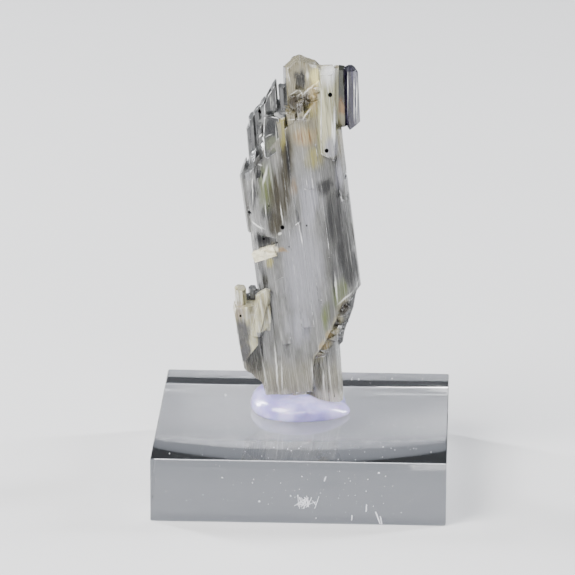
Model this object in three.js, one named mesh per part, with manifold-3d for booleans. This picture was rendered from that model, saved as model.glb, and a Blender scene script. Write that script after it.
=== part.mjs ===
// A clinozoisite specimen on its display stand: a sheaf of intergrown, striated prisms, broken at the top and
// along both flanks, its foot set in a blob of hot-melt glue on a clear acrylic block.
// Millimetres, +Z up. The origin is the centre of the block's underside, and -Y is the front.
import * as THREE from "three";
import { mergeVertices } from "three/addons/utils/BufferGeometryUtils.js";
import Module from "manifold-3d";

const wasm = await Module();
wasm.setup();

// Driving dimensions

const BLOCK_SIDE = 28.6;
const BLOCK_HEIGHT = 6.35;
const BLOCK_CHAMFER = 0.2;

// The crystals stand behind the middle of the block, and most of them lean to -X at the trunk's slope.
const AXIS_Y = 2.3;
const TRUNK_SLOPE = 0.13;
// The height at which the x of every leaning crystal is given.
const WAIST_Z = 23.5;
const CRYSTAL_FOOT_Z = BLOCK_HEIGHT + 0.6;

const GLUE_GAP = 0.05;

// Striae: fine ridges along the length of every prism face
const STRIA_PITCH = 0.55;
const STRIA_RELIEF = 0.055;

const CUTTER_SIZE = 60;

// Solids

// The geometry as a solid, after its shared vertices are merged.
function solid(geometry) {
  const bare = geometry.index ? geometry.toNonIndexed() : geometry.clone();
  bare.deleteAttribute("normal");
  bare.deleteAttribute("uv");
  const merged = mergeVertices(bare, 1e-4);
  return new wasm.Manifold(
    new wasm.Mesh({
      numProp: 3,
      vertProperties: merged.attributes.position.array,
      triVerts: new Uint32Array(merged.index.array),
    }),
  );
}

function geometryOf(body) {
  const { numProp, numVert, vertProperties, triVerts } = body.getMesh();
  const positions = new Float32Array(numVert * 3);
  for (let i = 0; i < numVert; i++) {
    positions.set(vertProperties.subarray(i * numProp, i * numProp + 3), i * 3);
  }
  const geometry = new THREE.BufferGeometry();
  geometry.setAttribute("position", new THREE.BufferAttribute(positions, 3));
  geometry.setIndex(new THREE.BufferAttribute(triVerts, 1));
  return geometry;
}

const joined = (bodies) => bodies.reduce((whole, body) => whole.add(body));

// An even spread of numbers from -1 to 1 with no visible order, the same in every run.
const uneven = (n) => 2 * ((n * 0.618034) % 1) - 1;

// The matrix that puts local +Z along `along` with its origin at `at`.
function placed(at, along) {
  const turn = new THREE.Quaternion().setFromUnitVectors(
    new THREE.Vector3(0, 0, 1),
    new THREE.Vector3(...along).normalize(),
  );
  return new THREE.Matrix4().compose(
    new THREE.Vector3(...at),
    turn,
    new THREE.Vector3(1, 1, 1),
  );
}

// Cuts off what lies beyond the plane through `point`, on the side that `outward` points to.
function trimmed(body, point, outward) {
  const cutter = new THREE.BoxGeometry(CUTTER_SIZE, CUTTER_SIZE, CUTTER_SIZE);
  cutter.translate(0, 0, CUTTER_SIZE / 2);
  cutter.applyMatrix4(placed(point, outward));
  return body.subtract(solid(cutter));
}

// Crystals

// A prism's cross-section: the corners joined by edges that carry striae, raised and sunk by turns.
function striated(corners, pitch = STRIA_PITCH, relief = STRIA_RELIEF) {
  const points = [];
  corners.forEach((corner, i) => {
    const next = corners[(i + 1) % corners.length];
    const edge = next.clone().sub(corner);
    const out = new THREE.Vector2(edge.y, -edge.x).normalize();
    const ridges = Math.floor(edge.length() / pitch);
    points.push(corner);
    for (let n = 1; n < ridges; n++) {
      const share = (n + 0.3 * uneven(n * 3 + i)) / ridges;
      const lift = relief * ((n % 2 ? 1 : -0.4) + 0.6 * uneven(n * 5 + i * 2));
      points.push(corner.clone().addScaledVector(edge, share).addScaledVector(out, lift));
    }
  });
  return points;
}

const corner = ([x, y]) => new THREE.Vector2(x, y);

// The six-sided section of a clinozoisite prism, anticlockwise from the front left: two broad faces, and two
// pairs of narrow ones that meet in an edge on each side.
function sixSided(width, depth, shoulder = 0.22) {
  const w = width / 2;
  const d = depth / 2;
  const s = Math.min(width, depth) * shoulder;
  return [
    [-w + s, -d],
    [w - s * 1.2, -d],
    [w, -d * 0.15],
    [w - s * 0.9, d],
    [-w + s * 1.3, d],
    [-w, d * 0.1],
  ].map(corner);
}

// A straight prism between two points of its axis. Each end is one sloping plane: slope gives the rise per
// millimetre towards +X and towards +Y.
function prism({ foot, tip, section, footSlope = [0, 0], tipSlope = [0, 0] }) {
  const along = tip.map((value, i) => value - foot[i]);
  const length = Math.hypot(...along);
  const geometry = new THREE.ExtrudeGeometry(new THREE.Shape(section), {
    depth: length,
    bevelEnabled: false,
  });
  const position = geometry.attributes.position;
  for (let i = 0; i < position.count; i++) {
    const [slopeX, slopeY] = position.getZ(i) > length / 2 ? tipSlope : footSlope;
    const rise = slopeX * position.getX(i) + slopeY * position.getY(i);
    position.setZ(i, position.getZ(i) + rise);
  }
  geometry.applyMatrix4(placed(foot, along));
  return solid(geometry);
}

// A prism of the sheaf, parallel to the trunk. x is its middle at the waist, and front is the y of its face.
function parallel({ x, front, from, to, wide, deep, slope = TRUNK_SLOPE, ...rest }) {
  const at = (z) => [x - slope * (z - WAIST_Z), front + deep / 2, z];
  const section = striated(sixSided(wide, deep, rest.shoulder), 0.45, 0.045);
  return prism({ foot: at(from), tip: at(to), section, ...rest });
}

// A flake: an outline in the X-Z plane, extruded from its front to its back, and turned about the upright
// axis through `pivot`.
function flake(outline, front, back, turn = 0, pivot = [0, AXIS_Y]) {
  const geometry = new THREE.ExtrudeGeometry(new THREE.Shape(outline.map(corner)), {
    depth: back - front,
    bevelEnabled: false,
  });
  geometry.rotateX(Math.PI / 2);
  geometry.translate(-pivot[0], back - pivot[1], 0);
  geometry.rotateZ(turn);
  geometry.translate(pivot[0], pivot[1], 0);
  return solid(geometry);
}

// A broken lump or pit: a small faceted ball, squeezed and turned.
function lump([x, y, z], size, turn, squeeze = [1, 0.7, 1.3]) {
  const geometry = new THREE.IcosahedronGeometry(size, 0);
  geometry.scale(...squeeze);
  geometry.rotateY(turn);
  geometry.rotateX(turn * 1.7);
  geometry.translate(x, y, z);
  return solid(geometry);
}

function tilted(size, [x, y, z], turnY, turnZ = 0) {
  const geometry = new THREE.BoxGeometry(...size);
  geometry.rotateZ(turnZ);
  geometry.rotateY(turnY);
  geometry.translate(x, y, z);
  return solid(geometry);
}

// The trunk's full section about its axis, from the front left: the broad pale face, the strip that turns
// back on the right, the thin right edge, the back, and the narrow left wall.
const TRUNK_SECTION = [
  [-3.75, -2.3],
  [2.05, -2.35],
  [4.0, -1.35],
  [5.05, -0.45],
  [5.1, 0.1],
  [3.7, 1.75],
  [1.3, 2.3],
  [-3.1, 2.2],
  [-4.85, 0.9],
  [-5.05, -0.2],
  [-4.55, -1.35],
].map(corner);
const TRUNK_X = -0.2;
const TRUNK_FOOT_Z = 8.9;
const TRUNK_TIP_Z = 38.2;

// What is broken away at the lower right of the trunk, from the tip of its right edge down to the foot.
const LOWER_BREAK = [
  [9, 23.5],
  [5.55, 19.95],
  [4.6, 18.55],
  [3.35, 17.1],
  [3.15, 16.2],
  [2.6, 15.0],
  [1.95, 13.6],
  [1.15, 12.5],
  [0.95, 11.2],
  [0.9, 6],
  [9, 6],
];

// What is missing over the right shoulder, beside the pale slab.
const SHOULDER_BREAK = [
  [2.35, 35.9],
  [2.9, 35.35],
  [7, 35.6],
  [7, 44],
  [2.2, 44],
];

function trunk() {
  const at = (z) => [TRUNK_X - TRUNK_SLOPE * (z - WAIST_Z), AXIS_Y, z];
  let body = prism({
    foot: at(TRUNK_FOOT_Z),
    tip: at(TRUNK_TIP_Z),
    section: striated(TRUNK_SECTION),
    tipSlope: [0.1, 0.45],
  });
  body = body.subtract(flake(LOWER_BREAK, -1.5, 6.5, -0.2, [3.3, 0]));
  body = body.subtract(flake(SHOULDER_BREAK, -1.5, 6.5, 0.1));
  // The upper left falls away to the blades in two steps.
  body = trimmed(body, [-4.1, 1.5, 33.0], [-0.78, -0.15, 0.6]);
  body = trimmed(body, [-2.0, 1.5, 36.2], [-0.6, -0.35, 0.72]);
  // The lower left tapers to the heel.
  return trimmed(body, [-4.35, 1.5, 11.3], [-0.93, -0.2, -0.3]);
}

// The foot below the broken trunk: a wide prism and, on its right and set back, two narrower ones.
const FOOT_SLOPE = 0.075;
const FOOT = [
  { x: -2.75, y: 2.15, wide: 5.5, deep: 4.2, to: 17 },
  { x: 0.35, y: 2.55, wide: 3.2, deep: 3.6, to: 19 },
  { x: 1.75, y: 2.35, wide: 1.9, deep: 2.9, to: 18.5 },
];

// One prism of the foot, or with `grow` the room it needs in the glue.
function footPrism({ x, y, wide, deep, to }, from, grow = 0) {
  const at = (z) => [x - FOOT_SLOPE * (z - WAIST_Z), y, z];
  const corners = sixSided(wide + grow, deep + grow, 0.17);
  return prism({
    foot: at(from),
    tip: at(to),
    section: grow ? corners : striated(corners),
  });
}

// The heel on the left of the foot, under the pronged crystal.
const HEEL = [
  [-6.15, 12.4],
  [-6.05, 10.85],
  [-5.6, 10.35],
  [-5.2, 10.2],
  [-4.8, 9.65],
  [-4.45, 9.55],
  [-4.1, 9.15],
  [-3.3, 9.0],
  [-3.3, 14.5],
  [-5.4, 14.2],
].reverse();

// The foot's left side is broken off along one sloping plane, `proud` millimetres farther out for its room.
function brokenFoot(prisms, proud = 0) {
  return trimmed(joined(prisms), [-3.95 - proud, 1.5, 8.5], [-0.95, -0.1, -0.3]);
}

function footing() {
  const foot = brokenFoot(FOOT.map((one) => footPrism(one, CRYSTAL_FOOT_Z)));
  return joined([foot, flake(HEEL, 1.0, 3.2, 0.12, [-4, 2])]);
}

// The prisms of the trunk's face and top. Each has its own front, so that the face is stepped.
const SHEAF = [
  { x: -3.55, front: 0.22, wide: 1.3, deep: 2.6, from: 24.0, to: 33.1, tipSlope: [0.9, 0.5] },
  { x: -2.55, front: 0.1, wide: 1.1, deep: 2.9, from: 25.6, to: 34.4, tipSlope: [0.8, 0.6] },
  { x: -1.75, front: 0.3, wide: 1.2, deep: 3.0, from: 20.0, to: 35.8, tipSlope: [0.3, 0.4] },
  { x: -0.75, front: -0.08, wide: 1.3, deep: 3.2, from: 23.0, to: 36.9, tipSlope: [0.2, 0.5] },
  { x: 0.35, front: -0.02, wide: 1.4, deep: 3.3, from: 27.0, to: 37.6, tipSlope: [-0.3, 0.4] },
  { x: 1.35, front: -0.12, wide: 1.2, deep: 3.0, from: 29.5, to: 38.6, tipSlope: [0.4, 0.5] },
  { x: 2.15, front: 0.1, wide: 1.0, deep: 3.0, from: 22.5, to: 34.6, tipSlope: [0.9, 0.6] },
  { x: -0.6, front: -0.09, wide: 2.4, deep: 2.6, from: 15.4, to: 27.4, tipSlope: [0.5, 1.2] },
  { x: 1.15, front: -0.07, wide: 1.5, deep: 2.6, from: 18.2, to: 30.8, tipSlope: [-0.4, 1.1] },
  { x: -2.9, front: -0.05, wide: 1.7, deep: 2.2, from: 13.6, to: 21.6, tipSlope: [0.3, 1.2] },
];

// Ribs of the back, which is rougher and more stepped than the face.
const BACK_RIBS = [
  { x: -2.9, front: 2.2, wide: 2.1, deep: 2.75, from: 12.5, to: 29.0, tipSlope: [0.6, -0.7] },
  { x: -0.9, front: 2.3, wide: 2.3, deep: 3.0, from: 9.6, to: 35.2, tipSlope: [-0.5, -0.6] },
  { x: 1.1, front: 2.4, wide: 1.6, deep: 2.55, from: 15.5, to: 37.2, tipSlope: [0.3, -0.8] },
  { x: 2.5, front: 2.1, wide: 1.7, deep: 2.35, from: 20.6, to: 33.0, tipSlope: [-0.7, -0.5] },
  { x: -3.9, front: 1.9, wide: 1.2, deep: 2.3, from: 20.2, to: 33.4, tipSlope: [0.9, -0.4] },
];

function sheaf() {
  const ribs = BACK_RIBS.map((one) => parallel({ footSlope: [0.3, 0.9], ...one }));
  return joined([...SHEAF.map(parallel), ...ribs]);
}

// The clear blades along the upper left, each lower than the one on its right.
const BLADES = [
  { x: -3.2, front: 1.75, top: 39.45, wide: 0.68, deep: 0.9, length: 8.5, tipSlope: [1.3, 0.2] },
  { x: -3.75, front: 1.95, top: 38.5, wide: 0.66, deep: 1.0, length: 8, tipSlope: [1.6, -0.2] },
  { x: -4.25, front: 1.6, top: 37.65, wide: 0.72, deep: 1.1, length: 7, tipSlope: [1.1, 0.3] },
  { x: -4.82, front: 1.95, top: 36.9, wide: 0.78, deep: 1.0, length: 6.5, tipSlope: [0.9, 0.1] },
  { x: -5.32, front: 1.65, top: 36.2, wide: 0.62, deep: 1.2, length: 6, tipSlope: [0.5, 0.3] },
  { x: -5.62, front: 1.95, top: 35.2, wide: 0.5, deep: 0.9, length: 5, tipSlope: [1.5, 0.2] },
  { x: -4.5, front: 1.2, top: 35.6, wide: 0.6, deep: 1.1, length: 5, tipSlope: [0.8, 0.8] },
  { x: -3.55, front: 1.1, top: 36.6, wide: 0.8, deep: 1.2, length: 5.4, tipSlope: [-0.4, 0.9] },
  { x: -2.75, front: 0.9, top: 35.9, wide: 0.9, deep: 1.2, length: 4, tipSlope: [0.4, 0.8] },
];
const BLADE_SLOPE = 0.085;

function blades() {
  return joined(
    BLADES.map(({ x, front, top, wide, deep, length, tipSlope }) =>
      prism({
        foot: [x + BLADE_SLOPE * length, front + deep / 2, top - length],
        tip: [x, front + deep / 2, top],
        section: striated(sixSided(wide, deep), 0.35, 0.03),
        footSlope: [-1, 1],
        tipSlope,
      }),
    ),
  );
}

// The splinter that stands out from the left flank, below the blades.
function spur() {
  return prism({
    foot: [-5.2, 2.2, 24.5],
    tip: [-6.12, 2.2, 31.1],
    section: striated(sixSided(0.95, 1.1), 0.4, 0.03),
    tipSlope: [1.9, 0.2],
  });
}

// The broken stub at the very top, with its peaked break, its bevelled front left and a rod beside it.
const PEAK = [
  [-3, 42.2],
  [-2.3, 41.1],
  [-1.65, 41.45],
  [-1.2, 41.85],
  [-0.65, 42.05],
  [-0.3, 41.95],
  [0.25, 41.7],
  [0.9, 41.5],
  [1.25, 41.1],
  [1.75, 40.95],
  [3.5, 41.2],
  [3.5, 44],
  [-3, 44],
];

function stub() {
  let body = prism({
    foot: [0.3, 2.3, 33],
    tip: [-0.1, 2.3, 43.5],
    section: striated(sixSided(4.55, 3.0, 0.2), 0.45, 0.05),
  });
  body = body.subtract(flake(PEAK, -1, 6, 0.08));
  // The front is broken back to a ledge that climbs to the right.
  const recess = flake(
    [
      [-4, 38.2],
      [-1.1, 38.6],
      [-0.4, 39.0],
      [0.5, 39.6],
      [1.3, 40.3],
      [1.5, 44],
      [-4, 44],
    ],
    -1,
    1.15,
    0.1,
  );
  body = body.subtract(recess);
  const rod = prism({
    foot: [-1.85, 2.0, 32.5],
    tip: [-2.4, 2.0, 39.3],
    section: striated(sixSided(0.66, 0.85), 0.4, 0.03),
    tipSlope: [-0.3, 0.3],
  });
  return joined([body, rod]);
}

// The pale slab at the front right of the top, ending below in a blunt wedge, with a low rib on its right.
function frontSlab() {
  let slab = prism({
    foot: [2.3, 0.95, 31.4],
    tip: [2.05, 0.95, 41.25],
    section: striated(sixSided(1.55, 2.1, 0.14), 0.45, 0.04),
    tipSlope: [0.02, 0.25],
  });
  slab = trimmed(slab, [2.75, 0.3, 32.3], [-0.45, -0.3, -0.84]);
  slab = trimmed(slab, [2.75, 0.3, 32.3], [0.75, -0.3, -0.6]);
  const rib = prism({
    foot: [3.75, 1.5, 28.9],
    tip: [3.0, 1.5, 35.6],
    section: striated(sixSided(0.95, 1.8), 0.4, 0.03),
    footSlope: [0.2, 0.8],
    tipSlope: [0.1, 0.3],
  });
  return joined([slab, rib]);
}

// A thin flake and a well formed clear prism, side by side on the right of the top.
function sidePrism() {
  const thin = prism({
    foot: [3.42, 2.05, 35.4],
    tip: [3.2, 2.05, 41.2],
    section: striated(sixSided(1.4, 1.1), 0.4, 0.04),
    footSlope: [0.12, 0.1],
    tipSlope: [-0.15, 0.2],
  });
  let clear = prism({
    foot: [4.64, 2.05, 34.6],
    tip: [4.3, 2.05, 41.15],
    section: sixSided(1.42, 1.7, 0.26),
    tipSlope: [-0.06, 0.15],
  });
  clear = trimmed(clear, [4.3, 1.6, 35.1], [0.62, -0.1, -0.78]);
  clear = trimmed(clear, [4.3, 1.6, 35.1], [-0.7, -0.1, -0.7]);
  clear = trimmed(clear, [4.85, 1.8, 40.95], [0.6, 0, 0.8]);
  return joined([thin, clear]);
}

// The cream crystal on the lower left: a slab that ends above in two prongs, with clear prisms in the notch.
const SLAB_OUTLINE = [
  [-6.15, 12.0],
  [-6.4, 13.3],
  [-6.6, 14.9],
  [-6.95, 16.8],
  [-6.85, 17.45],
  [-5.6, 17.6],
  [-4.6, 17.65],
  [-3.5, 17.7],
  [-3.4, 16.0],
  [-3.9, 15.2],
  [-4.6, 14.8],
  [-4.65, 13.7],
  [-5.3, 12.9],
  [-5.85, 12.1],
];
const NOTCH_PRISMS = [
  { x: -5.15, y: 2.1, wide: 0.85, deep: 0.9, top: 18.75 },
  { x: -5.6, y: 1.9, wide: 0.45, deep: 0.5, top: 18.1 },
  { x: -4.5, y: 1.75, wide: 0.9, deep: 1.25, top: 18.4 },
];

function prongedCrystal() {
  const slab = flake(SLAB_OUTLINE, -0.5, 2.0, 0.12, [-4, 1]);
  const leftProng = prism({
    foot: [-6.05, 0.7, 14.5],
    tip: [-6.3, 0.7, 19.15],
    section: striated(sixSided(1.15, 1.3), 0.35, 0.04),
    tipSlope: [-0.15, 0.2],
  });
  let rightProng = prism({
    foot: [-4.75, -0.1, 14.6],
    tip: [-3.6, -0.1, 20.2],
    section: striated(sixSided(1.5, 1.2), 0.35, 0.04),
  });
  rightProng = trimmed(rightProng, [-3.75, -0.1, 19.35], [-0.55, -0.1, 0.83]);
  rightProng = trimmed(rightProng, [-3.75, -0.1, 19.35], [0.35, 0, 0.93]);
  const notch = NOTCH_PRISMS.map(({ x, y, wide, deep, top }) =>
    prism({
      foot: [x + 0.15, y, 14],
      tip: [x, y, top],
      section: sixSided(wide, deep),
      tipSlope: [-0.1, 0.3],
    }),
  );
  return joined([slab, leftProng, rightProng, ...notch]);
}

// The thin clear flake behind the broken lower right, with its ragged edge.
const REAR_FLAKE = [
  [5.3, 20.2],
  [5.25, 19.2],
  [5.0, 18.3],
  [4.8, 17.0],
  [4.6, 16.4],
  [4.4, 15.8],
  [4.15, 15.2],
  [3.92, 14.4],
  [3.78, 13.4],
  [3.3, 12.9],
  [1.6, 13.2],
  [1.2, 19.8],
].reverse();

// The rough seam that runs down the broken lower right, from the right edge to the foot.
const SEAM = [
  { at: [4.0, 1.8, 17.8], size: 0.7, turn: 0.4 },
  { at: [3.7, 1.6, 16.9], size: 0.85, turn: 1.1 },
  { at: [3.4, 1.5, 15.9], size: 0.95, turn: 2.0 },
  { at: [2.95, 1.4, 15.0], size: 1.0, turn: 2.9 },
  { at: [2.45, 1.3, 14.1], size: 0.95, turn: 0.9 },
  { at: [1.95, 1.2, 13.2], size: 0.9, turn: 1.7 },
  { at: [1.5, 1.2, 12.3], size: 0.8, turn: 2.4 },
  { at: [3.0, 1.9, 13.9], size: 0.8, turn: 2.2 },
  { at: [1.2, 1.2, 11.4], size: 0.65, turn: 0.2 },
];

// Small broken ends that roughen the top and the ledges.
const CHIPS = [
  { at: [-1.2, 1.3, 38.1], size: 0.6, turn: 0.3 },
  { at: [-0.3, 1.0, 37.6], size: 0.65, turn: 1.4 },
  { at: [0.5, 0.9, 38.4], size: 0.6, turn: 2.2 },
  { at: [1.1, 0.8, 39.2], size: 0.5, turn: 0.7 },
  { at: [-1.0, 1.9, 41.45], size: 0.4, turn: 0.8 },
  { at: [0.5, 2.3, 41.3], size: 0.4, turn: 1.9 },
  { at: [1.4, 1.7, 40.75], size: 0.35, turn: 2.6 },
  { at: [-3.9, 1.0, 34.2], size: 0.45, turn: 0.5 },
  { at: [-3.1, 0.7, 33.2], size: 0.45, turn: 1.6 },
  { at: [-2.0, 0.5, 35.1], size: 0.5, turn: 2.3 },
];

const lumps = (list) => joined(list.map(({ at, size, turn }) => lump(at, size, turn)));

// The small cream tablet that sits across the left flank, in the mouth of a recess.
function tablet() {
  return tilted([2.4, 0.9, 0.95], [-3.85, 0.5, 22.75], -0.4, -0.25);
}

// Recess over the tablet, two cavities in the upper left, the window in the stub and chips in the edges.
const PITS = [
  { at: [-3.9, -0.05, 23.85], size: [2.1, 1.2, 1.5], turn: 0.2 },
  { at: [-4.55, 1.0, 32.6], size: [0.6, 1.4, 1.4], turn: 0.12 },
  { at: [-4.5, 0.2, 30.9], size: [0.4, 1.3, 0.8], turn: 0.12 },
  { at: [-0.55, 1.2, 39.9], size: [0.85, 0.9, 1.5], turn: 0.06 },
  { at: [4.4, 1.9, 29.0], size: [0.3, 3.0, 0.5], turn: 0.5 },
  { at: [3.95, 1.9, 30.6], size: [0.25, 3.0, 0.35], turn: -0.4 },
  { at: [-5.45, 2.4, 26.6], size: [0.3, 3.0, 0.4], turn: 0.6 },
];

function pits() {
  return joined(PITS.map(({ size, at, turn }) => tilted(size, at, turn)));
}

function clinozoisite() {
  const grown = joined([
    trunk(),
    footing(),
    sheaf(),
    blades(),
    spur(),
    stub(),
    frontSlab(),
    sidePrism(),
    prongedCrystal(),
    flake(REAR_FLAKE, 1.9, 3.1),
    lumps(SEAM),
    lumps(CHIPS),
  ]);
  return grown.subtract(pits()).add(tablet());
}

// The stand

function acrylicBlock() {
  const half = BLOCK_SIDE / 2 - BLOCK_CHAMFER;
  const cut = half - BLOCK_CHAMFER;
  const outline = [
    [-cut, -half],
    [cut, -half],
    [half, -cut],
    [half, cut],
    [cut, half],
    [-cut, half],
    [-half, cut],
    [-half, -cut],
  ];
  const geometry = new THREE.ExtrudeGeometry(new THREE.Shape(outline.map(corner)), {
    depth: BLOCK_HEIGHT - 2 * BLOCK_CHAMFER,
    bevelThickness: BLOCK_CHAMFER,
    bevelSize: BLOCK_CHAMFER,
    bevelSegments: 1,
  });
  geometry.translate(0, 0, BLOCK_CHAMFER);
  return solid(geometry);
}

// The blob's foot on the block, anticlockwise from the drip at the right: x, y and the height of its rim.
const GLUE_OUTLINE = [
  [4.5, 0.6, 1.15],
  [4.1, 2.0, 1.35],
  [3.75, 3.9, 1.75],
  [2.2, 5.3, 2.0],
  [-0.4, 5.8, 2.1],
  [-3.1, 5.3, 2.25],
  [-4.75, 4.0, 2.3],
  [-5.25, 2.2, 2.2],
  [-4.95, 0.4, 2.1],
  [-4.0, -1.4, 2.0],
  [-2.6, -2.45, 1.95],
  [-0.45, -2.8, 1.95],
  [1.75, -2.3, 1.85],
  [3.1, -1.55, 1.6],
  [4.05, -0.5, 1.35],
];
const GLUE_CENTRE = [-0.4, 1.9];
const GLUE_SIDES = 60;
// The blob's profile as shares of its reach and its rim height: it bulges just above the block, and is drawn
// up where it meets the crystal.
const GLUE_PROFILE = [
  [0, 0],
  [0.97, 0],
  [1.015, 0.12],
  [1.03, 0.3],
  [1.01, 0.52],
  [0.95, 0.74],
  [0.86, 0.9],
  [0.74, 1],
  [0.5, 1.08],
  [0, 1.12],
].map(corner);

function glueBlob() {
  const rim = new THREE.CatmullRomCurve3(
    GLUE_OUTLINE.map((point) => new THREE.Vector3(...point)),
    true,
  );
  const geometry = new THREE.LatheGeometry(GLUE_PROFILE, GLUE_SIDES);
  geometry.rotateX(Math.PI / 2);
  const position = geometry.attributes.position;
  const [middleX, middleY] = GLUE_CENTRE;
  for (let i = 0; i < position.count; i++) {
    const x = position.getX(i);
    const y = position.getY(i);
    const turn = (Math.atan2(y, x) / (2 * Math.PI) + 1) % 1;
    const edge = rim.getPoint(turn);
    const reach = Math.hypot(x, y);
    position.setXYZ(
      i,
      middleX + (edge.x - middleX) * reach,
      middleY + (edge.y - middleY) * reach,
      BLOCK_HEIGHT + GLUE_GAP + position.getZ(i) * edge.z,
    );
  }
  return solid(geometry);
}

// The blob with the room that the foot of the crystals takes up in it.
function glue() {
  const grow = 2 * (GLUE_GAP + STRIA_RELIEF);
  const room = FOOT.map((one) => footPrism(one, CRYSTAL_FOOT_Z - GLUE_GAP, grow));
  return glueBlob().subtract(brokenFoot(room, grow));
}

// The object

function mesh(name, body, colour, roughness, extra = {}) {
  const material = new THREE.MeshStandardMaterial({
    color: colour,
    roughness,
    metalness: 0,
    flatShading: true,
    ...extra,
  });
  const made = new THREE.Mesh(geometryOf(body), material);
  made.name = name;
  return made;
}

const specimen = new THREE.Group();
specimen.add(
  mesh("acrylic_block", acrylicBlock(), 0xe6eaf2, 0.04, {
    transparent: true,
    opacity: 0.3,
  }),
  mesh("glue_blob", glue(), 0xb4b4d6, 0.25),
  mesh("clinozoisite_crystals", clinozoisite(), 0xa3a394, 0.3),
);

export default specimen;
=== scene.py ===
import math
import random

import bpy
from mathutils import Matrix, Vector


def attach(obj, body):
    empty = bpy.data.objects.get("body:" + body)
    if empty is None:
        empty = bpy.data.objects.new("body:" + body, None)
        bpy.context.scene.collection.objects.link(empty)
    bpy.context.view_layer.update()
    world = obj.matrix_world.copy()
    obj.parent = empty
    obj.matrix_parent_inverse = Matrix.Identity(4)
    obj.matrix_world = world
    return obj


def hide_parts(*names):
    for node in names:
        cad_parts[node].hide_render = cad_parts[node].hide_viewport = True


MM = 0.001

# The crystals' common direction: they lean to -X.
LEAN = math.atan(0.13)
AXIS = Vector((-math.sin(LEAN), 0, math.cos(LEAN)))

BLOCK_SIDE = 28.6
BLOCK_HEIGHT = 6.35
# The block is this much smaller on each side, so that its dust stays in its outline.
DUST_ROOM = 0.05

# How strongly each stuff bends light.
CRYSTAL_IOR = 1.71
ACRYLIC_IOR = 1.49
GLUE_IOR = 1.48

# Corners of the solids that are closer than this are one.
MERGE_DISTANCE = 0.0002
# Faces that meet at less than this angle are shaded as one surface.
CREASE_ANGLE = math.radians(24)

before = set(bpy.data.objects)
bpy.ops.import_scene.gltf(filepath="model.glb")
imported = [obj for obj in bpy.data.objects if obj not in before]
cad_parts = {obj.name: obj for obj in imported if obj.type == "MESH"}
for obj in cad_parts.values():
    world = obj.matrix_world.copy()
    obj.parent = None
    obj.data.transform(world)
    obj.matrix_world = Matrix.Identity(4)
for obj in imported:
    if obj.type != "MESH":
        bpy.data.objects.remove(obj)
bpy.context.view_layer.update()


# Modelling helpers


def only(piece):
    """Leaves just this piece selected and active."""
    if bpy.context.mode != "OBJECT":
        bpy.ops.object.mode_set(mode="OBJECT")
    bpy.ops.object.select_all(action="DESELECT")
    piece.select_set(True)
    bpy.context.view_layer.objects.active = piece


def edit(piece):
    only(piece)
    bpy.ops.object.mode_set(mode="EDIT")
    bpy.ops.mesh.select_all(action="SELECT")


def done(piece, name=None):
    bpy.ops.object.mode_set(mode="OBJECT")
    if name:
        piece.name = name
        piece.data.name = name
    return piece


def settle(piece):
    """Moves the piece's place and turn into its mesh."""
    only(piece)
    bpy.ops.object.transform_apply(location=True, rotation=True, scale=True)


def apply_modifiers(piece):
    only(piece)
    for modifier in list(piece.modifiers):
        bpy.ops.object.modifier_apply(modifier=modifier.name)


def deselect():
    bpy.ops.object.select_all(action="DESELECT")


def merged_copy(node, name):
    """A copy of a solid's mesh with its loose triangles joined."""
    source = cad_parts[node]
    piece = source.copy()
    piece.data = source.data.copy()
    bpy.context.collection.objects.link(piece)
    piece.data.materials.clear()
    edit(piece)
    bpy.ops.mesh.remove_doubles(threshold=MERGE_DISTANCE * MM)
    return done(piece, name)


# Material helpers


def linear(red, green, blue):
    """A colour given as it looks on a screen, 0 to 255."""

    def channel(value):
        value /= 255
        return value / 12.92 if value <= 0.04045 else ((value + 0.055) / 1.055) ** 2.4

    return (channel(red), channel(green), channel(blue), 1)


# Lines drawn on the front reach this far back, and fade out past their ends by a share of their length.
FRONT_REACH = 2.3
HALF_LINE = 0.62


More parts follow.
